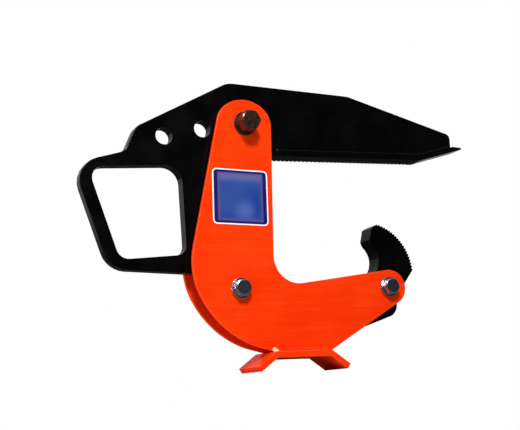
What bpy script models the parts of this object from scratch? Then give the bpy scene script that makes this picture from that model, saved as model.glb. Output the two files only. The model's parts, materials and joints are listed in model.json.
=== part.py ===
"""Beam clamp: two steel side plates on a splayed foot, a jaw lever with a hand grip between them,
and a toothed claw at the end of the lower arm.

Frame: +X runs along the jaw from the hand grip to the tip, +Y goes away from the bolt heads,
+Z is up. The origin is on the ground, at the middle of the overall length and width.
Outlines are in millimetres in the XZ plane; every mesh is made in metres.
"""

import math

import bmesh
import bpy

MM = 0.001
GAP = 0.3            # play between two pieces that touch
RIM = 0.8            # rounding of the plates' cut edges

# Joint and bolt axes, all along Y: (x, z)
PIVOT = (-56.3, 286.2)
STOP = (-70.7, 93.5)
CLAW = (122.4, 95.2)

ARM_END = (125.0, 95.0)     # middle of the lower arm's round end

# Thickness of the stack, as half widths about the middle plane
PLATE_IN = 12.9
PLATE_OUT = 17.9
LEVER_HALF = 7.5
STRIP_HALF = 12.5
CLAW_HALF = 11.5
FOOT_HALF = 29.0

# Foot plate
FOOT_TOP = 21.7
FOOT_THICK = 7.0
LEG_ANGLE = 36.0
FOOT_LEFT = -35.6
FOOT_RIGHT = 35.6

# Jaw strip: underside line, and the bend near the tip
STRIP_THICK = 6.1
STRIP_START = (-20.0, 250.9)
STRIP_BEND = (187.0, 256.6)
STRIP_TIP = (249.8, 274.8)
NOSE_X = 237.0
STRIP_TOOTH_PITCH = 5.5
STRIP_TOOTH_DEPTH = 1.5

# Fasteners: (shank radius, across flats, head height, nut height, washer radius, washer thickness)
M14 = (7.0, 22.0, 14.0, 12.0, 14.0, 2.5)
M12 = (6.0, 18.0, 7.5, 10.0, 12.0, 2.5)
SPRING_WASHER = (11.4, 3.5)      # radius, thickness
PIVOT_TAIL = 5.8                 # thread standing out past the nut
SMALL_TAIL = 2.5
ROUND = 32                       # sides of a turned piece


# ---------------------------------------------------------------- materials

def material(name, colour, roughness, metallic):
    made = bpy.data.materials.new(name)
    made.use_nodes = True
    shader = made.node_tree.nodes["Principled BSDF"]
    shader.inputs["Base Color"].default_value = (*colour, 1.0)
    shader.inputs["Roughness"].default_value = roughness
    shader.inputs["Metallic"].default_value = metallic
    return made


def make_materials():
    return {
        "orange_paint": material("orange_paint", (0.95, 0.10, 0.01), 0.35, 0.0),
        "black_paint": material("black_paint", (0.012, 0.012, 0.014), 0.40, 0.0),
        "zinc_steel": material("zinc_steel", (0.62, 0.67, 0.72), 0.28, 1.0),
        "black_oxide": material("black_oxide", (0.05, 0.04, 0.035), 0.38, 0.8),
        "bronze": material("bronze", (0.55, 0.36, 0.16), 0.40, 1.0),
        "sticker": material("sticker", (0.06, 0.13, 0.45), 0.30, 0.0),
    }


# ---------------------------------------------------------------- outlines

def arc(centre, radius, start, end, steps=12, tall=None):
    """Points on a circle, or on an ellipse when the upright half axis differs."""
    tall = radius if tall is None else tall
    points = []
    for step in range(steps + 1):
        angle = math.radians(start + (end - start) * step / steps)
        points.append((centre[0] + radius * math.cos(angle), centre[1] + tall * math.sin(angle)))
    return points


def rounded(corners, steps=6):
    """A closed outline from (x, z, radius) corners, each one rounded by its own arc."""
    outline = []
    count = len(corners)
    for i, (x, z, radius) in enumerate(corners):
        before = corners[i - 1]
        after = corners[(i + 1) % count]
        if radius == 0:
            outline.append((x, z))
            continue
        to_before = math.atan2(before[1] - z, before[0] - x)
        to_after = math.atan2(after[1] - z, after[0] - x)
        inside = (to_after - to_before + math.pi) % (2 * math.pi) - math.pi
        reach = radius / math.tan(abs(inside) / 2)
        middle = to_before + inside / 2
        away = radius / math.sin(abs(inside) / 2)
        centre = (x + away * math.cos(middle), z + away * math.sin(middle))
        first = (x + reach * math.cos(to_before), z + reach * math.sin(to_before))
        last = (x + reach * math.cos(to_after), z + reach * math.sin(to_after))
        start = math.atan2(first[1] - centre[1], first[0] - centre[0])
        turn = math.atan2(last[1] - centre[1], last[0] - centre[0]) - start
        turn = (turn + math.pi) % (2 * math.pi) - math.pi
        outline += arc(centre, radius, math.degrees(start), math.degrees(start + turn), steps)
    return outline


def along(start, end, distance):
    """The point at a distance from start on the way to end."""
    length = math.dist(start, end)
    share = distance / length
    return (start[0] + (end[0] - start[0]) * share, start[1] + (end[1] - start[1]) * share)


# ---------------------------------------------------------------- solids

def add_object(name, mesh, finish, axis=(0.0, 0.0), parent=None):
    """An object whose mesh was drawn about the axis (x, z)."""
    mesh.materials.append(finish)
    made = bpy.data.objects.new(name, mesh)
    bpy.context.collection.objects.link(made)
    if parent is None:
        made.location = (axis[0] * MM, 0.0, axis[1] * MM)
    else:
        made.parent = parent
    return made


def prism_mesh(name, outline, low, high, axis=(0.0, 0.0)):
    """A closed outline in XZ, drawn out along Y from low to high."""
    work = bmesh.new()
    front = [work.verts.new(((x - axis[0]) * MM, low * MM, (z - axis[1]) * MM)) for x, z in outline]
    face = work.faces.new(front)
    made = bmesh.ops.extrude_face_region(work, geom=[face])
    moved = [item for item in made["geom"] if isinstance(item, bmesh.types.BMVert)]
    bmesh.ops.translate(work, verts=moved, vec=(0.0, (high - low) * MM, 0.0))
    bmesh.ops.recalc_face_normals(work, faces=work.faces)
    mesh = bpy.data.meshes.new(name)
    work.to_mesh(mesh)
    work.free()
    return mesh


def turned_mesh(name, profile, sides=ROUND):
    """A profile of (radius, y) points turned about the Y axis and closed at both ends."""
    work = bmesh.new()
    rings = []
    for radius, y in profile:
        ring = []
        for side in range(sides):
            angle = 2 * math.pi * side / sides
            ring.append(work.verts.new((radius * MM * math.cos(angle), y * MM, radius * MM * math.sin(angle))))
        rings.append(ring)
    for one, two in zip(rings, rings[1:]):
        for side in range(sides):
            after = (side + 1) % sides
            work.faces.new((one[side], one[after], two[after], two[side]))
    work.faces.new(rings[0])
    work.faces.new(rings[-1])
    bmesh.ops.recalc_face_normals(work, faces=work.faces)
    mesh = bpy.data.meshes.new(name)
    work.to_mesh(mesh)
    work.free()
    mesh.shade_smooth()
    mesh.set_sharp_from_angle(angle=math.radians(35))
    return mesh


def ring_mesh(name, outer, inner, low, high, chamfer=0.0, sides=ROUND):
    """A turned ring with an open bore, its two outer rims chamfered."""
    loop = [(inner, low), (outer - chamfer, low), (outer, low + chamfer)]
    loop += [(outer, high - chamfer), (outer - chamfer, high), (inner, high)]
    if chamfer == 0:
        loop = [(inner, low), (outer, low), (outer, high), (inner, high)]
    work = bmesh.new()
    rings = []
    for side in range(sides):
        angle = 2 * math.pi * side / sides
        rings.append([
            work.verts.new((r * MM * math.cos(angle), y * MM, r * MM * math.sin(angle))) for r, y in loop
        ])
    count = len(loop)
    for side in range(sides):
        one = rings[side]
        two = rings[(side + 1) % sides]
        for i in range(count):
            after = (i + 1) % count
            work.faces.new((one[i], one[after], two[after], two[i]))
    bmesh.ops.recalc_face_normals(work, faces=work.faces)
    mesh = bpy.data.meshes.new(name)
    work.to_mesh(mesh)
    work.free()
    mesh.shade_smooth()
    mesh.set_sharp_from_angle(angle=math.radians(35))
    return mesh


def hexagon(across_flats):
    corner = across_flats / math.sqrt(3)
    return arc((0.0, 0.0), corner, 0, 300, 5)


def bevel(made, width, segments=2):
    rim = made.modifiers.new("rim", "BEVEL")
    rim.width = width * MM
    rim.segments = segments
    rim.limit_method = "ANGLE"
    rim.angle_limit = math.radians(50)


def cutter(name, mesh, axis, parent=None):
    helper = bpy.data.objects.new(name, mesh)
    bpy.context.collection.objects.link(helper)
    helper.hide_render = True
    helper.display_type = "WIRE"
    if parent is None:
        helper.location = (axis[0] * MM, 0.0, axis[1] * MM)
    else:
        helper.parent = parent
    return helper


def combine(made, helper, operation):
    step = made.modifiers.new(helper.name, "BOOLEAN")
    step.operation = operation
    step.object = helper


def drill(made, name, centre, radius, half_depth, parent=None, parent_axis=(0.0, 0.0)):
    """A round hole along Y. With a parent, the centre is still in the object's own XZ plane."""
    place = (centre[0] - parent_axis[0], centre[1] - parent_axis[1]) if parent else centre
    helper = cutter(name, turned_mesh(name, [(radius, -half_depth), (radius, half_depth)]), place)
    if parent:
        helper.parent = parent
    combine(made, helper, "DIFFERENCE")


# ---------------------------------------------------------------- frame

def side_plate_outline():
    outline = [(FOOT_RIGHT + 5.0, FOOT_TOP + GAP)]
    outline += arc(ARM_END, 21.0, -59, 98, 16)
    outline += arc((3.6, 130.6), 31.0, -82, -182, 10)
    outline += arc(PIVOT, 34.0, -3, 166, 22, tall=29.3)
    outline += arc((-44.0, 121.5), 83.0, 166, 206.5, 9)
    outline += arc((-17.0, 134.9), 113.0, 209.5, 251.5, 14)
    outline.append((FOOT_LEFT + 4.0, FOOT_TOP + GAP))
    return outline


def make_side_plate(name, low, high, finish):
    plate = add_object(name, prism_mesh(name, side_plate_outline(), low, high), finish)
    bevel(plate, RIM)
    for label, axis, fastener in (("pivot", PIVOT, M14), ("stop", STOP, M12), ("claw", CLAW, M12)):
        drill(plate, f"{name}_{label}_hole", axis, fastener[0] + 0.5, PLATE_OUT + 2)
    return plate


def foot_outline():
    """The splayed plate's side view. Its toes' lowest edges are rounded off to touch the ground."""
    slope = math.radians(LEG_ANGLE)
    toe = -RIM * (math.sqrt(2) - 1) * math.cos(math.radians(45) - slope)
    end_x = FOOT_THICK * math.sin(slope)
    end_z = toe + FOOT_THICK * math.cos(slope)
    run = (FOOT_TOP - end_z) / math.tan(slope)
    inner = FOOT_THICK * math.tan(slope / 2)
    under = FOOT_TOP - FOOT_THICK
    return rounded([
        (FOOT_LEFT, FOOT_TOP, 5.0),
        (FOOT_LEFT - run, end_z, 0),
        (FOOT_LEFT - run + end_x, toe, 0),
        (FOOT_LEFT + inner, under, 2.0),
        (FOOT_RIGHT - inner, under, 2.0),
        (FOOT_RIGHT + run - end_x, toe, 0),
        (FOOT_RIGHT + run, end_z, 0),
        (FOOT_RIGHT, FOOT_TOP, 5.0),
    ], steps=4)


def make_foot_plate(finish):
    foot = add_object("foot_plate", prism_mesh("foot_plate", foot_outline(), -FOOT_HALF, FOOT_HALF), finish)
    bevel(foot, RIM)
    return foot


def make_foot_welds(finish):
    """A fillet bead along the outer foot of each side plate."""
    leg = 4.6
    for name, side in (("front_foot_weld", -1), ("rear_foot_weld", 1)):
        start = PLATE_OUT + GAP
        low = FOOT_TOP + GAP
        section = [(start, low), (start + leg, low), (start + leg * 0.55, low + leg * 0.55), (start, low + leg)]
        work = bmesh.new()
        left = [work.verts.new(((FOOT_LEFT + 6) * MM, side * y * MM, z * MM)) for y, z in section]
        right = [work.verts.new(((FOOT_RIGHT + 2) * MM, side * y * MM, z * MM)) for y, z in section]
        work.faces.new(left)
        work.faces.new(right)
        for i in range(len(section)):
            after = (i + 1) % len(section)
            work.faces.new((left[i], left[after], right[after], right[i]))
        bmesh.ops.recalc_face_normals(work, faces=work.faces)
        mesh = bpy.data.meshes.new(name)
        work.to_mesh(mesh)
        work.free()
        add_object(name, mesh, finish)


def make_side_label(finish):
    """A plain square sticker on the outer face of the front plate, a degree off upright."""
    width, height, thick, corner = 68.4, 64.8, 0.4, 5.2
    corners = [(width / 2, -height / 2, corner), (width / 2, height / 2, corner)]
    corners += [(-width / 2, height / 2, corner), (-width / 2, -height / 2, corner)]
    front = -PLATE_OUT - GAP - thick
    label = add_object("side_label", prism_mesh("side_label", rounded(corners, 5), front, front + thick), finish)
    label.location = (-66.0 * MM, 0.0, 198.6 * MM)
    label.rotation_euler = (0.0, math.radians(1.1), 0.0)
    return label


# ---------------------------------------------------------------- lever

def arm_underside():
    """The lever's lower edge: it follows the strip's upper face with a small gap."""
    rise = STRIP_THICK + GAP
    start = (STRIP_START[0], STRIP_START[1] + rise)
    bend = (STRIP_BEND[0], STRIP_BEND[1] + rise)
    end = (NOSE_X, bend[1] + (NOSE_X - bend[0]) * strip_slope() + 0.2)
    return start, bend, end


def strip_slope():
    return (STRIP_TIP[1] - STRIP_BEND[1]) / (STRIP_TIP[0] - STRIP_BEND[0])


def lever_outline():
    start, bend, end = arm_underside()
    return rounded([
        (*start, 0),
        (*bend, 30.0),
        (*end, 2.0),
        (236.8, 294.3, 7.0),
        (89.3, 334.5, 30.0),
        (-71.4, 338.3, 28.0),
        (-185.5, 277.2, 18.0),
        (-198.2, 248.4, 15.0),
        (-257.3, 231.6, 27.0),
        (-218.3, 115.7, 29.0),
        (-104.0, 110.7, 10.0),
        (-82.0, 245.0, 25.0),
    ])


def grip_outline():
    return rounded([
        (-240.9, 229.3, 14.0),
        (-206.5, 126.4, 14.0),
        (-129.4, 132.8, 12.0),
        (-132.5, 235.7, 20.0),
    ])


def make_lever(finish, pivot):
    lever = add_object(
        "lever_plate", prism_mesh("lever_plate", lever_outline(), -LEVER_HALF, LEVER_HALF, PIVOT), finish,
        parent=pivot,
    )
    bevel(lever, 1.0)
    for number, centre in enumerate(((-152.0, 268.6), (-105.3, 279.8)), 1):
        drill(lever, f"lever_hole_{number}", centre, 10.0, LEVER_HALF + 2, pivot, PIVOT)
    drill(lever, "lever_bore", PIVOT, 10.0 + GAP, LEVER_HALF + 2, pivot, PIVOT)
    grip = prism_mesh("grip_cut", grip_outline(), -LEVER_HALF - 2, LEVER_HALF + 2, PIVOT)
    combine(lever, cutter("grip_cut", grip, PIVOT, pivot), "DIFFERENCE")
    return lever


def strip_outline():
    """The jaw strip's side view: a toothed flat run, a smooth bent-up run and a thin lip."""
    outline = []
    teeth = int(math.dist(STRIP_START, STRIP_BEND) // STRIP_TOOTH_PITCH) - 1
    dip = STRIP_TOOTH_DEPTH
    for tooth in range(teeth):
        first = along(STRIP_START, STRIP_BEND, STRIP_TOOTH_PITCH * (tooth + 0.25))
        last = along(STRIP_START, STRIP_BEND, STRIP_TOOTH_PITCH * (tooth + 0.70))
        valley = along(STRIP_START, STRIP_BEND, STRIP_TOOTH_PITCH * (tooth + 0.95))
        outline += [first, last, (valley[0], valley[1] + dip)]
    start, bend, end = arm_underside()
    rest = rounded([
        (*along(STRIP_START, STRIP_BEND, STRIP_TOOTH_PITCH * (teeth + 0.3)), 0),
        (*STRIP_BEND, 24.0),
        (STRIP_TIP[0], STRIP_TIP[1] - 0.2, 0.6),
        (STRIP_TIP[0] - 0.4, STRIP_TIP[1] + 1.8, 0.6),
        (NOSE_X + 7.0, STRIP_TIP[1] + 2.1, 0),
        (NOSE_X + 1.5, STRIP_TIP[1] + 2.4, 0),
        (end[0] - 0.8, end[1] - GAP, 0),
        (bend[0], bend[1] - GAP, 30.0),
        (start[0], start[1] - GAP, 0),
        (*STRIP_START, 0),
    ], steps=5)
    return outline + rest


def make_jaw_strip(finish, pivot):
    mesh = prism_mesh("jaw_strip", strip_outline(), -STRIP_HALF, STRIP_HALF, PIVOT)
    return add_object("jaw_strip", mesh, finish, parent=pivot)


def make_strip_welds(finish, pivot):
    """A small fillet bead on each ledge where the strip stands proud of the lever."""
    start, bend, end = arm_underside()
    height = 4.0
    base = [(start[0] + 4, start[1]), (bend[0] - 4, bend[1] - 0.1), (bend[0] + 4, bend[1] + 1.0)]
    base.append((end[0] - 6, end[1] - 1.6))
    for name, side in (("front_strip_weld", -1), ("rear_strip_weld", 1)):
        work = bmesh.new()
        rows = []
        for x, z in base:
            section = [(LEVER_HALF + GAP, 0.0), (STRIP_HALF, 0.0), (LEVER_HALF + GAP, height)]
            rows.append([
                work.verts.new(((x - PIVOT[0]) * MM, side * y * MM, (z + rise - PIVOT[1]) * MM))
                for y, rise in section
            ])
        for one, two in zip(rows, rows[1:]):
            for i in range(3):
                after = (i + 1) % 3
                work.faces.new((one[i], one[after], two[after], two[i]))
        work.faces.new(rows[0])
        work.faces.new(rows[-1])
        bmesh.ops.recalc_face_normals(work, faces=work.faces)
        mesh = bpy.data.meshes.new(name)
        work.to_mesh(mesh)
        work.free()
        add_object(name, mesh, finish, parent=pivot)


# ---------------------------------------------------------------- claw

def claw_outline():
    """Toothed outer arc, hooked inner side, and a tail that reaches back under the arm."""
    centre = (100.2, 112.6)
    tip, root = 62.2, 60.8
    teeth, start, end = 20, 3.5, 74.5
    outline = [(149.0, 100.0)]
    for tooth in range(teeth):
        angle = start + (end - start) * tooth / teeth
        step = (end - start) / teeth
        outline += arc(centre, tip, angle + 0.15 * step, angle + 0.45 * step, 1)
        outline += arc(centre, root, angle + 0.75 * step, angle + 0.85 * step, 1)
    outline += [(115.8, 172.4), (109.6, 169.4)]
    outline += [(107.6, 167.6), (104.2, 153.6), (104.7, 151.0)]
    outline += arc((91.0, 129.0), 24.0, 48, -40, 8)
    outline += [(96.0, 90.0), (76.0, 74.0)]
    outline += arc((72.0, 56.0), 15.8, 100, 250, 8)
    outline += arc((120.9, 74.9), 15.3, -70, 4, 6)
    return outline


def make_claw(finish, axle):
    claw = add_object(
        "toothed_claw", prism_mesh("toothed_claw", claw_outline(), -CLAW_HALF, CLAW_HALF, CLAW), finish,
        parent=axle,
    )
    drill(claw, "claw_bore", CLAW, 9.0 + GAP, CLAW_HALF + 2, axle, CLAW)
    return claw


# ---------------------------------------------------------------- fasteners

def make_bolt(name, axis, fastener, seat, far_end, finish):
    """A hex bolt along Y: its head sits in front of the seat, its thread ends at far_end."""
    shank, flats, head = fastener[0], fastener[1], fastener[2]
    face = seat - head
    bolt = add_object(name, prism_mesh(name, hexagon(flats), face, seat), finish, axis)
    rim = flats / 2 * 0.95
    drop = (flats / math.sqrt(3) - rim) * math.tan(math.radians(30))
    cone = [(rim, face - 0.01), (flats / math.sqrt(3) + 0.3, face + drop), (flats / math.sqrt(3) + 0.3, seat + 1)]
    combine(bolt, cutter(f"{name}_chamfer", turned_mesh(f"{name}_chamfer", cone), axis), "INTERSECT")
    pin = [(shank, seat - 1), (shank, far_end - 1.2), (shank - 1.2, far_end)]
    combine(bolt, cutter(f"{name}_shank", turned_mesh(f"{name}_shank", pin), axis), "UNION")
    return bolt


def make_nut(name, axis, fastener, seat, finish):
    """A hex nut behind the seat, chamfered on both faces and bored clear of the thread."""
    shank, flats, height = fastener[0], fastener[1], fastener[3]
    nut = add_object(name, prism_mesh(name, hexagon(flats), seat, seat + height), finish, axis)
    rim = flats / 2 * 0.95
    wide = flats / math.sqrt(3) + 0.3
    drop = (wide - rim) * math.tan(math.radians(30))
    barrel = [(rim, seat - 0.01), (wide, seat + drop), (wide, seat + height - drop), (rim, seat + height + 0.01)]
    combine(nut, cutter(f"{name}_chamfer", turned_mesh(f"{name}_chamfer", barrel), axis), "INTERSECT")
    bore = [(shank + GAP, seat - 2), (shank + GAP, seat + height + 2)]
    combine(nut, cutter(f"{name}_bore", turned_mesh(f"{name}_bore", bore), axis), "DIFFERENCE")
    return nut


def make_washer(name, axis, outer, inner, low, high, finish):
    return add_object(name, ring_mesh(name, outer, inner, low, high, chamfer=0.3), finish, axis)


def make_fastener(prefix, axis, fastener, spring, tail, finish):
    """Bolt, washers and nut through both side plates."""
    shank, height, wide, thick = fastener[0], fastener[3], fastener[4], fastener[5]
    front = -PLATE_OUT - GAP
    make_washer(f"{prefix}_head_washer", axis, wide, shank + 0.5, front - thick, front, finish)
    front -= thick + GAP
    if spring:
        make_washer(f"{prefix}_spring_washer", axis, spring[0], shank + 0.5, front - spring[1], front, finish)
        front -= spring[1] + GAP
    back = PLATE_OUT + GAP
    make_washer(f"{prefix}_nut_washer", axis, wide, shank + 0.5, back, back + thick, finish)
    back += thick + GAP
    make_nut(f"{prefix}_nut", axis, fastener, back, finish)
    make_bolt(f"{prefix}_bolt", axis, fastener, front, back + height + tail, finish)


def make_thrust_washers(prefix, axis, outer, inner, near, finish):
    """One thin washer on each side, between a moving piece and the side plates."""
    for name, side in (("front", -1), ("rear", 1)):
        ends = sorted((side * (near + GAP), side * (PLATE_IN - GAP)))
        ring = ring_mesh(f"{prefix}_{name}", outer, inner, *ends)
        add_object(f"{prefix}_thrust_washer_{name}", ring, finish, axis)


# ---------------------------------------------------------------- assembly

def clear_scene():
    for item in list(bpy.data.objects):
        bpy.data.objects.remove(item)


def make_axis(name, axis):
    empty = bpy.data.objects.new(name, None)
    bpy.context.collection.objects.link(empty)
    empty.location = (axis[0] * MM, 0.0, axis[1] * MM)
    return empty


def main():
    clear_scene()
    finish = make_materials()
    pivot = make_axis("lever_axis", PIVOT)
    axle = make_axis("claw_axis", CLAW)

    make_side_plate("front_side_plate", -PLATE_OUT, -PLATE_IN, finish["orange_paint"])
    make_side_plate("rear_side_plate", PLATE_IN, PLATE_OUT, finish["orange_paint"])
    make_foot_plate(finish["orange_paint"])
    make_foot_welds(finish["orange_paint"])
    make_side_label(finish["sticker"])

    make_lever(finish["black_paint"], pivot)
    make_jaw_strip(finish["black_paint"], pivot)
    make_strip_welds(finish["black_paint"], pivot)
    bush = ring_mesh("pivot_bush", 10.0, M14[0] + GAP, -LEVER_HALF, LEVER_HALF)
    add_object("pivot_bush", bush, finish["bronze"], parent=pivot)

    make_claw(finish["black_paint"], axle)
    bush = ring_mesh("claw_bush", 9.0, M12[0] + GAP, -CLAW_HALF, CLAW_HALF)
    add_object("claw_bush", bush, finish["bronze"], parent=axle)

    make_fastener("pivot", PIVOT, M14, SPRING_WASHER, PIVOT_TAIL, finish["black_oxide"])
    make_fastener("stop", STOP, M12, None, SMALL_TAIL, finish["zinc_steel"])
    make_fastener("claw", CLAW, M12, None, SMALL_TAIL, finish["zinc_steel"])
    make_thrust_washers("lever", PIVOT, 22.0, M14[0] + 0.5, LEVER_HALF, finish["bronze"])
    make_thrust_washers("claw", CLAW, 15.0, M12[0] + 0.5, CLAW_HALF, finish["bronze"])
    sleeve = ring_mesh("stop_sleeve", 9.5, M12[0] + 0.5, GAP - PLATE_IN, PLATE_IN - GAP, chamfer=0.5)
    add_object("stop_sleeve", sleeve, finish["zinc_steel"], STOP)


main()
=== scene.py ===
"""Looks for the beam clamp: painted plates, fasteners with real threads, weld beads and a sticker.

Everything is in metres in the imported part's frame: +X along the jaw, +Y away from the bolt
heads, +Z up. Sizes written in millimetres are multiplied by MM.
"""
import json
import math

import bmesh
import bpy
from mathutils import Matrix, Vector


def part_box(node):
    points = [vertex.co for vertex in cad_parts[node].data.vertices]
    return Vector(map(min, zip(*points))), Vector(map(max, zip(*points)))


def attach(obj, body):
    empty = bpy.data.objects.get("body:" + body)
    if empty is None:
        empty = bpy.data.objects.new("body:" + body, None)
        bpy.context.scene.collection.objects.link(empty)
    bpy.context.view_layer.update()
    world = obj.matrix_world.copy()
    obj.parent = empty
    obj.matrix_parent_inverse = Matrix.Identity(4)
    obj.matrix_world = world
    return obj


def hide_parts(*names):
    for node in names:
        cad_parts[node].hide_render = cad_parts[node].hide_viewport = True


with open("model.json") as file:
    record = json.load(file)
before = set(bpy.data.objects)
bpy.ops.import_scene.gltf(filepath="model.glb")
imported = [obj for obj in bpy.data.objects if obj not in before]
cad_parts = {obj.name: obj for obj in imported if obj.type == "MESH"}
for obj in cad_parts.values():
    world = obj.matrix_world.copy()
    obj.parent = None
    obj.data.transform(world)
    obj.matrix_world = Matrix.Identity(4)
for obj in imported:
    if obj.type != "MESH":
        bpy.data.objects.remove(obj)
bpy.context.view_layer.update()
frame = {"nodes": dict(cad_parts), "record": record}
nodes = frame["nodes"]

MM = 0.001
SIDES = 72                       # vertices round a turned piece, a multiple of six for the hexagons
MIDDLE = (0.0, 0.0, 0.17)        # where the lights point
MIX_FIRST, MIX_SECOND = 6, 7     # the colour inputs of a Mix node; its names repeat for other types
MIX_COLOUR = 2                   # and its colour output

# Fasteners: (shank radius, across flats, thread pitch), in millimetres
M14 = (7.0, 22.0, 2.0)
M12 = (6.0, 18.0, 1.75)

# Shapes of the fasteners; rims are shares of half the width across flats
CORNER_CUT = 1.11                # how far out a hexagon's corners reach before they are turned off
CHAMFER = math.radians(30)
HEAD_RIM, NUT_RIM, COLLAR_RIM = 0.91, 0.95, 0.96
COLLAR = 0.5                     # height of the washer face under a head, in millimetres
SEAT_GAP = 0.3                   # clearance under a head, in millimetres
THREAD_DEPTH = 0.58              # share of the pitch
RINGS_PER_TURN = 6
THREAD_PITCHES, THREAD_EXTRA = 4.5, 6.0    # a thread's length: so many pitches, and then millimetres
SPLIT_LIFT = 0.8                 # how far a spring washer's coil rises, in millimetres
SPLIT_FROM, SPLIT_TO = math.radians(38), math.radians(392)

# Weld beads
RIPPLE = 2.1                     # distance between ripples, in millimetres
BEAD_STEPS = 150                 # sections along a bead
BEAD_ARC = 7                     # flats round a bead's face

# The label: half sizes and corner radii of the sheet and of the print inside it, and its tilt
SHEET_HALF, SHEET_CORNER = (34.2 * MM, 32.4 * MM), 5.2 * MM
PRINT_HALF, PRINT_CORNER = (28.0 * MM, 28.2 * MM), 0.4 * MM
LABEL_TILT = math.radians(1.1)
GLOW = (-61.0 * MM, -18.6 * MM, 183.0 * MM)    # middle of its palest patch

# Middle of a painted highlight: a cream patch at the end of the foot's weld
GLINT_SPOT = (-32.4 * MM, -20.3 * MM, 23.6 * MM)


# ---------------------------------------------------------------- node helpers

class Shader:
    """Adds nodes to a material's tree and links them; a value may be a number, a colour or a socket."""

    def __init__(self, tree):
        self.tree = tree

    def node(self, kind, inputs=None, **settings):
        made = self.tree.nodes.new(kind)
        for name, value in settings.items():
            setattr(made, name, value)
        for name, value in (inputs or {}).items():
            self.put(made.inputs[name], value)
        return made

    def put(self, socket, value):
        if isinstance(value, bpy.types.NodeSocket):
            self.tree.links.new(value, socket)
        elif isinstance(value, tuple) and len(value) == 3 and socket.type == "RGBA":
            socket.default_value = (*value, 1.0)
        else:
            socket.default_value = value

    def position(self, scale=(1.0, 1.0, 1.0)):
        """The point's place on the piece, in metres, stretched by scale."""
        coordinate = self.node("ShaderNodeTexCoord").outputs["Object"]
        return self.node("ShaderNodeMapping", {"Vector": coordinate, "Scale": scale}).outputs["Vector"]

    def away_from(self, spot):
        """Distance to a spot on the piece, in metres."""
        made = self.node("ShaderNodeVectorMath", {0: self.position(), 1: spot}, operation="DISTANCE")
        return made.outputs["Value"]

    def noise(self, scale, detail=4.0, rough=0.5, stretch=(1.0, 1.0, 1.0)):
        made = self.node("ShaderNodeTexNoise", {
            "Vector": self.position(stretch), "Scale": scale, "Detail": detail,
            "Roughness": rough,
        })
        return made.outputs["Fac"]

    def ramp(self, value, low, high, start=0.0, end=1.0):
        made = self.node("ShaderNodeMapRange", {
            "Value": value, "From Min": low, "From Max": high, "To Min": start, "To Max": end,
        }, interpolation_type="SMOOTHSTEP")
        return made.outputs["Result"]

    def math(self, operation, first, second=0.0):
        made = self.node("ShaderNodeMath", operation=operation)
        self.put(made.inputs[0], first)
        self.put(made.inputs[1], second)
        return made.outputs["Value"]

    def mix(self, factor, first, second):
        made = self.node("ShaderNodeMix", data_type="RGBA")
        self.put(made.inputs["Factor"], factor)
        self.put(made.inputs[MIX_FIRST], first)
        self.put(made.inputs[MIX_SECOND], second)
        return made.outputs[MIX_COLOUR]

    def bump(self, height, strength, distance, normal=None):
        made = self.node("ShaderNodeBump", {"Height": height, "Strength": strength, "Distance": distance})
        if normal:
            self.put(made.inputs["Normal"], normal)
        return made.outputs["Normal"]

    def soft_edges(self, radius):
        """The surface's direction with its sharp edges rounded over by radius."""
        return self.node("ShaderNodeBevel", {"Radius": radius}, samples=6).outputs["Normal"]

    def edges(self, radius, low, high):
        """One along outer and inner edges, zero on flat ground."""
        soft = self.soft_edges(radius)
        sharp = self.node("ShaderNodeNewGeometry").outputs["Normal"]
        facing = self.node("ShaderNodeVectorMath", {0: soft, 1: sharp}, operation="DOT_PRODUCT")
        return self.ramp(facing.outputs["Value"], high, low)


def finish_material(name, paint):
    """A material whose look comes from paint(shader, principled)."""
    made = bpy.data.materials.new(name)
    made.use_nodes = True
    shader = Shader(made.node_tree)
    paint(shader, made.node_tree.nodes["Principled BSDF"])
    return made


# ---------------------------------------------------------------- materials

def orange_paint(s, surface):
    """Glossy orange-red enamel: drawn streaks along the plate, faint mottling, and pale edges that are
    partly paint worn thin and partly a painted highlight along the rims.
    """
    streaks = s.noise(820.0, 3.0, 0.65, stretch=(0.022, 1.0, 1.0))
    mottle = s.noise(22.0, 3.0, 0.55)
    peel = s.noise(1400.0, 2.0, 0.5)
    tone = s.mix(s.ramp(mottle, 0.35, 0.65), (0.88, 0.036, 0.002), (0.93, 0.048, 0.003))
    tone = s.mix(s.ramp(streaks, 0.40, 0.62, 0.0, 0.55), tone, (0.80, 0.022, 0.001))
    # pale edges: partly worn paint, partly a painted highlight along the rims
    worn_and_highlit_edges = s.math("MULTIPLY", s.edges(0.0009, 0.80, 0.985), s.ramp(s.noise(160.0, 4.0, 0.7), 0.30, 0.55))
    tone = s.mix(worn_and_highlit_edges, tone, (1.0, 0.50, 0.20))
    specks = s.ramp(s.noise(2600.0, 2.0, 0.5), 0.74, 0.80)
    tone = s.mix(s.math("MULTIPLY", specks, 0.5), tone, (0.30, 0.010, 0.003))
    # painted highlight: a cream patch with a ragged rim at the end of the foot's weld
    glint_reach = s.math("ADD", s.away_from(GLINT_SPOT), s.ramp(s.noise(500.0, 3.0, 0.6), 0.3, 0.7, -0.0008, 0.0008))
    tone = s.mix(s.ramp(glint_reach, 0.0043, 0.0031), tone, (1.0, 0.80, 0.52))
    s.put(surface.inputs["Base Color"], tone)
    s.put(surface.inputs["Roughness"], s.ramp(mottle, 0.3, 0.7, 0.32, 0.44))
    surface.inputs["Specular IOR Level"].default_value = 0.08
    surface.inputs["Specular Tint"].default_value = (1.0, 0.55, 0.25, 1.0)
    fine = s.bump(streaks, 0.12, 0.00006)
    s.put(surface.inputs["Normal"], s.bump(peel, 0.10, 0.00005, fine))


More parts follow.
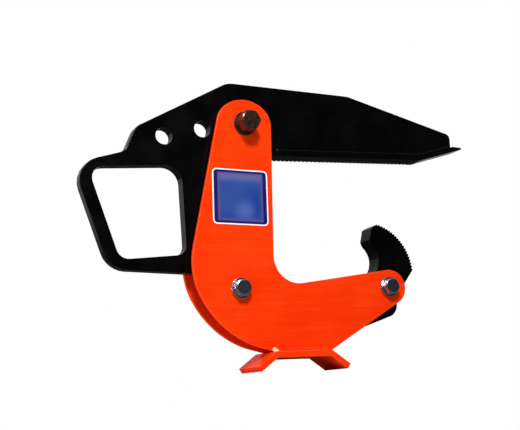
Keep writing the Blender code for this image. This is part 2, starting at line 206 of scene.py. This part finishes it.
def black_paint(s, surface):
    """Semi-gloss black over blasted steel: cloudy gloss, dust specks, paint rubbed grey on the edges."""
    cloud = s.noise(30.0, 5.0, 0.6)
    grain = s.noise(1500.0, 3.0, 0.6)
    tone = s.mix(s.ramp(cloud, 0.35, 0.7), (0.0010, 0.0010, 0.0011), (0.0022, 0.0022, 0.0024))
    rubbed = s.math("MULTIPLY", s.edges(0.0008, 0.78, 0.98), s.ramp(s.noise(240.0, 4.0, 0.7), 0.52, 0.68))
    tone = s.mix(s.math("MULTIPLY", rubbed, 0.45), tone, (0.11, 0.11, 0.12))
    dust = s.ramp(s.noise(2200.0, 2.0, 0.5), 0.76, 0.84)
    tone = s.mix(s.math("MULTIPLY", dust, 0.35), tone, (0.05, 0.05, 0.05))
    s.put(surface.inputs["Base Color"], tone)
    s.put(surface.inputs["Roughness"], s.ramp(cloud, 0.3, 0.7, 0.16, 0.25))
    surface.inputs["Specular IOR Level"].default_value = 0.12
    s.put(surface.inputs["Normal"], s.bump(grain, 0.15, 0.00005))


def zinc_steel(s, surface):
    """Bright zinc plate: fine turned marks, a faint blue and straw cast, duller patches."""
    cast = s.noise(130.0, 3.0, 0.6)
    marks = s.noise(2400.0, 3.0, 0.6, stretch=(1.0, 0.15, 1.0))
    tone = s.mix(s.ramp(cast, 0.35, 0.65), (0.46, 0.55, 0.68), (0.66, 0.68, 0.68))
    dull = s.ramp(s.noise(420.0, 4.0, 0.65), 0.52, 0.72)
    tone = s.mix(s.math("MULTIPLY", dull, 0.3), tone, (0.42, 0.44, 0.48))
    s.put(surface.inputs["Base Color"], tone)
    surface.inputs["Metallic"].default_value = 1.0
    s.put(surface.inputs["Roughness"], s.ramp(dull, 0.0, 1.0, 0.22, 0.30))
    s.put(surface.inputs["Normal"], s.bump(marks, 0.06, 0.00003, s.soft_edges(0.0009)))


def black_oxide(s, surface):
    """Oiled black-oxide steel, brown where the oil has dried, bright where the corners are knocked."""
    bloom = s.noise(260.0, 4.0, 0.65)
    grit = s.noise(2600.0, 3.0, 0.6)
    tone = s.mix(s.ramp(bloom, 0.35, 0.65), (0.012, 0.007, 0.005), (0.040, 0.018, 0.009))
    knocked = s.math("MULTIPLY", s.edges(0.0005, 0.75, 0.98), s.ramp(s.noise(600.0, 3.0, 0.6), 0.45, 0.65))
    tone = s.mix(s.math("MULTIPLY", knocked, 0.7), tone, (0.42, 0.40, 0.38))
    s.put(surface.inputs["Base Color"], tone)
    surface.inputs["Metallic"].default_value = 0.2
    surface.inputs["Specular IOR Level"].default_value = 0.2
    s.put(surface.inputs["Roughness"], s.ramp(bloom, 0.3, 0.7, 0.28, 0.44))
    surface.inputs["Coat Weight"].default_value = 0.6
    surface.inputs["Coat Roughness"].default_value = 0.12
    s.put(surface.inputs["Normal"], s.bump(grit, 0.25, 0.00006, s.soft_edges(0.0011)))


def bronze(s, surface):
    """Bearing bronze with a brown tarnish and a smear of old grease."""
    tarnish = s.noise(180.0, 5.0, 0.65)
    tone = s.mix(s.ramp(tarnish, 0.38, 0.66), (0.62, 0.40, 0.17), (0.30, 0.17, 0.07))
    s.put(surface.inputs["Base Color"], tone)
    surface.inputs["Metallic"].default_value = 1.0
    s.put(surface.inputs["Roughness"], s.ramp(tarnish, 0.3, 0.7, 0.26, 0.48))
    s.put(surface.inputs["Normal"], s.bump(s.noise(1800.0, 3.0, 0.6), 0.2, 0.00005))


def rounded_box_depth(s, centre, turn, half, radius):
    """How far a point is outside a rounded box in the XZ plane, in metres; inside it is negative."""
    place = s.node("ShaderNodeMapping", {
        "Vector": s.node("ShaderNodeTexCoord").outputs["Object"],
        "Location": (centre[0], 0.0, centre[1]), "Rotation": (0.0, turn, 0.0),
    }, vector_type="TEXTURE").outputs["Vector"]
    size = (half[0] - radius, 1.0, half[1] - radius)
    reach = s.node("ShaderNodeVectorMath", {0: place}, operation="ABSOLUTE").outputs["Vector"]
    reach = s.node("ShaderNodeVectorMath", {0: reach, 1: size}, operation="SUBTRACT").outputs["Vector"]
    beyond = s.node("ShaderNodeVectorMath", {0: reach, 1: (0.0, 0.0, 0.0)}, operation="MAXIMUM")
    length = s.node("ShaderNodeVectorMath", {0: beyond.outputs["Vector"]}, operation="LENGTH")
    corner = length.outputs["Value"]
    axes = s.node("ShaderNodeSeparateXYZ", {"Vector": reach})
    inner = s.math("MINIMUM", s.math("MAXIMUM", axes.outputs["X"], axes.outputs["Z"]), 0.0)
    return s.math("SUBTRACT", s.math("ADD", corner, inner), radius)


def sticker(s, surface):
    """A blank printed label: white border, navy frame and a blue field with a soft uneven print."""
    low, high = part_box("side_label")
    middle = ((low.x + high.x) / 2, (low.z + high.z) / 2)
    sheet = rounded_box_depth(s, middle, LABEL_TILT, SHEET_HALF, SHEET_CORNER)
    print_depth = rounded_box_depth(s, middle, LABEL_TILT, PRINT_HALF, PRINT_CORNER)
    cloud = s.noise(26.0, 1.0, 0.4)
    field = s.mix(s.ramp(cloud, 0.30, 0.70, 0.0, 0.6), (0.012, 0.045, 0.25), (0.032, 0.075, 0.29))
    glow = s.away_from(GLOW)
    field = s.mix(s.ramp(glow, 0.018, 0.002, 0.0, 0.9), field, (0.062, 0.120, 0.37))
    height = s.node("ShaderNodeSeparateXYZ", {"Vector": s.position()}).outputs["Z"]
    field = s.mix(s.ramp(height, middle[1] + 0.014, middle[1] + 0.026, 0.0, 0.85), field, (0.12, 0.13, 0.33))
    field = s.mix(s.ramp(print_depth, -0.0050, -0.0002, 0.0, 0.8), field, (0.110, 0.060, 0.20))
    navy = s.mix(s.ramp(s.noise(300.0), 0.3, 0.7), (0.001, 0.008, 0.10), (0.002, 0.014, 0.13))
    white = s.mix(s.ramp(s.noise(500.0), 0.3, 0.7), (0.93, 0.86, 0.87), (0.98, 0.94, 0.94))
    tone = s.mix(s.ramp(print_depth, -0.0004, 0.0004), field, navy)
    tone = s.mix(s.ramp(sheet, -0.0017, -0.0012), tone, white)
    s.put(surface.inputs["Base Color"], tone)
    s.put(surface.inputs["Roughness"], s.ramp(cloud, 0.3, 0.7, 0.30, 0.40))
    surface.inputs["Specular IOR Level"].default_value = 0.3
    s.put(surface.inputs["Normal"], s.bump(s.noise(900.0, 2.0, 0.5), 0.08, 0.00005))


def floor_paint(s, surface):
    """A pale floor, seen only from above so that it never hides the part from below, and dim in
    the part's own gloss."""
    pale = s.mix(s.noise(3.0), (0.62, 0.62, 0.62), (0.68, 0.68, 0.68))
    mirrored = s.node("ShaderNodeLightPath").outputs["Is Glossy Ray"]
    s.put(surface.inputs["Base Color"], s.mix(mirrored, pale, (0.10, 0.10, 0.10)))
    surface.inputs["Roughness"].default_value = 1.0
    surface.inputs["Specular IOR Level"].default_value = 0.0
    clear = s.node("ShaderNodeBsdfTransparent").outputs["BSDF"]
    back = s.node("ShaderNodeNewGeometry").outputs["Backfacing"]
    sides = s.node("ShaderNodeMixShader", {"Fac": back, 1: surface.outputs["BSDF"], 2: clear})
    output = s.tree.nodes["Material Output"]
    s.put(output.inputs["Surface"], sides.outputs["Shader"])


MATERIALS = {
    "orange_paint": finish_material("orange_paint_look", orange_paint),
    "black_paint": finish_material("black_paint_look", black_paint),
    "zinc_steel": finish_material("zinc_steel_look", zinc_steel),
    "black_oxide": finish_material("black_oxide_look", black_oxide),
    "bronze": finish_material("bronze_look", bronze),
    "sticker": finish_material("sticker_look", sticker),
}
SLOTS = {part["node"]: part["material_slot"] for part in frame["record"]["subparts"]}
BODIES = {node: body for body, members in frame["record"]["behaviour"]["bodies"].items() for node in members}

for name, shape in nodes.items():
    shape.data.materials.clear()
    shape.data.materials.append(MATERIALS[SLOTS[name]])


# ---------------------------------------------------------------- mesh helpers

def stand_for(node, piece_name, vertices, faces, smooth=35):
    """A detailed piece that takes the place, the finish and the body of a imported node."""
    mesh = bpy.data.meshes.new(piece_name)
    mesh.from_pydata([tuple(c * MM for c in v) for v in vertices], [], faces)
    work = bmesh.new()
    work.from_mesh(mesh)
    bmesh.ops.recalc_face_normals(work, faces=work.faces)
    work.to_mesh(mesh)
    work.free()
    mesh.shade_smooth()
    mesh.set_sharp_from_angle(angle=math.radians(smooth))
    mesh.materials.append(MATERIALS[SLOTS[node]])
    piece = bpy.data.objects.new(piece_name, mesh)
    bpy.context.scene.collection.objects.link(piece)
    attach(piece, BODIES[node])
    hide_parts(node)


def centre_of(node):
    low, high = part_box(node)
    return (low.x + high.x) / 2 / MM, (low.z + high.z) / 2 / MM


def span_of(node):
    low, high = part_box(node)
    return low.y / MM, high.y / MM


def turned(centre, rings, closed=False):
    """Rings about a Y axis. Each ring is a function that gives (radius, y) for an angle."""
    vertices = []
    for ring in rings:
        for side in range(SIDES):
            angle = 2 * math.pi * side / SIDES
            radius, y = ring(angle)
            vertices.append((centre[0] + radius * math.cos(angle), y, centre[1] + radius * math.sin(angle)))
    faces = []
    count = len(rings)
    for i in range(count if closed else count - 1):
        here, there = i * SIDES, (i + 1) % count * SIDES
        for side in range(SIDES):
            after = (side + 1) % SIDES
            faces.append((here + side, here + after, there + after, there + side))
    if not closed:
        faces.append(tuple(range(SIDES)))
        faces.append(tuple((count - 1) * SIDES + side for side in range(SIDES)))
    return vertices, faces


def flat_ring(radius, y):
    return lambda angle: (radius, y)


def hex_radius(angle, flats):
    """Distance from the axis to a hexagon's side; the corners, at 0, 60 and so on, are turned off."""
    sector = angle % (math.pi / 3) - math.pi / 6
    return flats / 2 * min(1 / math.cos(sector), CORNER_CUT)


def hex_ring(flats, y):
    return lambda angle: (hex_radius(angle, flats), y)


def chamfer_ring(flats, rim, y, inward):
    """Where the hexagon meets a chamfer's cone that starts at radius rim on the face at y."""
    def ring(angle):
        radius = hex_radius(angle, flats)
        return radius, y + inward * (radius - rim) * math.tan(CHAMFER)
    return ring


def thread_rings(radius, pitch, start, end):
    """A helical V thread between two stations."""
    depth = THREAD_DEPTH * pitch
    rows = int((end - start) / pitch * RINGS_PER_TURN)
    rings = []
    for row in range(rows + 1):
        y = start + (end - start) * row / rows

        def ring(angle, y=y):
            phase = (y / pitch - angle / (2 * math.pi)) % 1.0
            fade = min(1.0, (end - y) / pitch + 0.25)
            return radius - depth * (1 - abs(2 * phase - 1)) * fade, y
        rings.append(ring)
    return rings


# ---------------------------------------------------------------- fasteners

def make_bolt(node, fastener, collar):
    """A hex bolt: chamfered head with a shallow dish, washer face, shank and thread."""
    shank, flats, pitch = fastener
    face, end = span_of(node)
    centre = centre_of(node)
    rim = flats / 2 * HEAD_RIM
    face_rim = flats / 2 * COLLAR_RIM
    seat = collar - SEAT_GAP
    thread_start = end - THREAD_PITCHES * pitch - THREAD_EXTRA
    rings = [
        flat_ring(rim * 0.55, face + 0.14), flat_ring(rim * 0.80, face + 0.05),
        flat_ring(rim - 0.3, face), flat_ring(rim, face + 0.10),
        chamfer_ring(flats, rim, face, 1.0),
        hex_ring(flats, seat - 0.7), hex_ring(flats - 0.5, seat - COLLAR),
        flat_ring(face_rim, seat - COLLAR), flat_ring(face_rim, seat),
        flat_ring(shank, seat), flat_ring(shank, thread_start),
    ]
    rings += thread_rings(shank, pitch, thread_start + 0.4, end - 1.0)
    rings += [flat_ring(shank - 1.15, end - 0.6), flat_ring(shank - 1.7, end)]
    stand_for(node, f"{node}_detail", *turned(centre, rings))


def make_nut(node, fastener):
    """A hex nut with both faces chamfered and a countersunk bore."""
    shank, flats, pitch = fastener
    low, high = span_of(node)
    rim = flats / 2 * NUT_RIM
    bore = shank + 0.15
    rings = [
        flat_ring(bore, low + 0.9), flat_ring(bore + 0.9, low), flat_ring(rim, low),
        chamfer_ring(flats, rim, low, 1.0), chamfer_ring(flats, rim, high, -1.0),
        flat_ring(rim, high), flat_ring(bore + 0.9, high), flat_ring(bore, high - 0.9),
    ]
    stand_for(node, f"{node}_detail", *turned(centre_of(node), rings, closed=True))


def make_split_washer(node, bore):
    """A helical spring washer: a square coil with a cut, one end a little proud of the other."""
    low, high = span_of(node)
    box_low, box_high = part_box(node)
    outer = (box_high.x - box_low.x) / 2 / MM - 0.1
    centre = centre_of(node)
    thick = high - low - SPLIT_LIFT
    section = [(bore, 0.2), (bore + 0.2, 0.0), (outer - 0.3, 0.0), (outer, 0.3)]
    section += [(outer, thick - 0.3), (outer - 0.3, thick), (bore + 0.2, thick), (bore, thick - 0.2)]
    vertices = []
    for side in range(SIDES + 1):
        angle = SPLIT_FROM + (SPLIT_TO - SPLIT_FROM) * side / SIDES
        rise = low + SPLIT_LIFT * side / SIDES
        for radius, y in section:
            x = centre[0] + radius * math.cos(angle)
            vertices.append((x, y + rise, centre[1] + radius * math.sin(angle)))
    width = len(section)
    faces = [tuple(range(width)), tuple(SIDES * width + i for i in range(width))]
    for side in range(SIDES):
        for i in range(width):
            after = (i + 1) % width
            here, there = side * width, (side + 1) * width
            faces.append((here + i, here + after, there + after, there + i))
    stand_for(node, f"{node}_detail", vertices, faces)


for bolt, washer, fastener in (
    ("pivot", "pivot_spring_washer", M14),
    ("stop", "stop_head_washer", M12),
    ("claw", "claw_head_washer", M12),
):
    make_bolt(f"{bolt}_bolt", fastener, span_of(washer)[0])
    make_nut(f"{bolt}_nut", fastener)
make_split_washer("pivot_spring_washer", M14[0] + 0.4)


# ---------------------------------------------------------------- weld beads

def bead(node, path, leg, side):
    """A rippled fillet weld. The path gives (x, y, z) in its corner, side is the way it faces along Y,
    and leg gives its two legs: out from the wall and up the wall."""
    lengths = [math.dist(a, b) for a, b in zip(path, path[1:])]
    total = sum(lengths)
    vertices = []
    for step in range(BEAD_STEPS + 1):
        travelled = total * step / BEAD_STEPS
        left = travelled
        piece = 0
        while piece < len(lengths) - 1 and left > lengths[piece]:
            left -= lengths[piece]
            piece += 1
        corner = Vector(path[piece]).lerp(Vector(path[piece + 1]), left / lengths[piece])
        taper = min(1.0, (min(travelled, total - travelled) + 0.25) / 3.0) ** 0.5
        wave = abs(math.sin(math.pi * travelled / RIPPLE))
        size = taper * (0.90 + 0.10 * wave)
        vertices.append(tuple(corner))
        for i in range(BEAD_ARC + 1):
            angle = math.pi / 2 * i / BEAD_ARC
            swell = 0.80 + 0.20 * math.sin(2 * angle)
            out = leg[0] * size * swell * math.sin(angle)
            up = leg[1] * size * swell * math.cos(angle)
            vertices.append((corner.x, corner.y + side * out, corner.z + up))
    width = BEAD_ARC + 2
    faces = [tuple(range(width)), tuple(BEAD_STEPS * width + i for i in range(width))]
    for step in range(BEAD_STEPS):
        for i in range(width):
            after = (i + 1) % width
            here, there = step * width, (step + 1) * width
            faces.append((here + i, here + after, there + after, there + i))
    stand_for(node, f"{node}_bead", vertices, faces, smooth=60)


def make_foot_beads():
    for node, side in (("front_foot_weld", -1), ("rear_foot_weld", 1)):
        low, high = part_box(node)
        wall = (high.y if side < 0 else low.y) / MM
        leg = ((high.y - low.y) / MM, (high.z - low.z) / MM)
        base = low.z / MM
        bead(node, [(low.x / MM, wall, base), (high.x / MM, wall, base)], leg, side)


def make_strip_beads():
    """The strip weld follows the lever's lower edge, which bends upward near the nose."""
    for node, side in (("front_strip_weld", -1), ("rear_strip_weld", 1)):
        points = sorted({(round(v.co.x / MM, 2), round(v.co.z / MM, 2)) for v in nodes[node].data.vertices})
        low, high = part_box(node)
        wall = (high.y if side < 0 else low.y) / MM
        lowest = {}
        for x, z in points:
            lowest[x] = min(z, lowest.get(x, z))
        path = [(x, wall, z) for x, z in sorted(lowest.items())]
        bead(node, path, ((high.y - low.y) / MM, 3.6), side)


make_foot_beads()
make_strip_beads()


# ---------------------------------------------------------------- stage

def make_floor():
    work = bmesh.new()
    bmesh.ops.create_grid(work, x_segments=2, y_segments=2, size=40.0)
    mesh = bpy.data.meshes.new("floor")
    work.to_mesh(mesh)
    work.free()
    mesh.materials.append(finish_material("floor_look", floor_paint))
    floor = bpy.data.objects.new("floor", mesh)
    bpy.context.scene.collection.objects.link(floor)
    floor.location.z = -0.0002


def make_world():
    """A white studio: bright behind and above the part, dim in front of it, plain white to the camera."""
    world = bpy.data.worlds.new("studio")
    world.use_nodes = True
    bpy.context.scene.world = world
    s = Shader(world.node_tree)
    way = s.node("ShaderNodeSeparateXYZ", {"Vector": s.node("ShaderNodeTexCoord").outputs["Generated"]})
    behind = s.ramp(way.outputs["Y"], -0.45, 0.65)
    above = s.ramp(way.outputs["Z"], 0.55, 0.95, 0.0, 1.4)
    bright = s.math("MAXIMUM", behind, above)
    shade = s.mix(bright, (0.04, 0.04, 0.05), (0.92, 0.92, 0.94))
    light = s.node("ShaderNodeBackground", {"Color": shade, "Strength": 0.55})
    white = s.node("ShaderNodeBackground", {"Color": (1.0, 1.0, 1.0), "Strength": 1.0})
    path = s.node("ShaderNodeLightPath")
    seen = s.node("ShaderNodeMixShader", {
        "Fac": path.outputs["Is Camera Ray"], 1: light.outputs["Background"], 2: white.outputs["Background"],
    })
    s.put(world.node_tree.nodes["World Output"].inputs["Surface"], seen.outputs["Shader"])


def aim(thing, target, roll=0.0):
    """Points a camera or a light at the target, rolled clockwise about its own line of sight."""
    way = (Vector(target) - thing.location).normalized()
    turn = way.to_track_quat("-Z", "Y").to_matrix() @ Matrix.Rotation(-roll, 3, "Z")
    thing.rotation_euler = turn.to_euler()


def make_light(name, place, size, power):
    lamp = bpy.data.lights.new(name, "AREA")
    lamp.shape = "RECTANGLE"
    lamp.size, lamp.size_y = size
    lamp.energy = power
    light = bpy.data.objects.new(name, lamp)
    bpy.context.scene.collection.objects.link(light)
    light.location = place
    light.visible_camera = False
    aim(light, MIDDLE)


def make_camera():
    lens = bpy.data.cameras.new("camera")
    lens.sensor_width = 36.0
    lens.lens = 68.2
    lens.clip_start = 0.01
    camera = bpy.data.objects.new("camera", lens)
    bpy.context.scene.collection.objects.link(camera)
    camera.location = (-0.4991, -1.0358, -0.0287)
    aim(camera, camera.location + Vector((0.40247, 0.89705, 0.18255)), math.radians(2.84))
    bpy.context.scene.camera = camera


make_floor()
make_world()
make_light("key", (-0.50, -1.25, 1.21), (0.35, 0.35), 29.0)
make_light("left_fill", (-1.45, -0.15, 0.18), (0.5, 0.25), 9.0)
make_camera()

view = bpy.context.scene.view_settings
view.view_transform = "Standard"
view.look = "None"
view.exposure = 0.0
view.gamma = 1.0
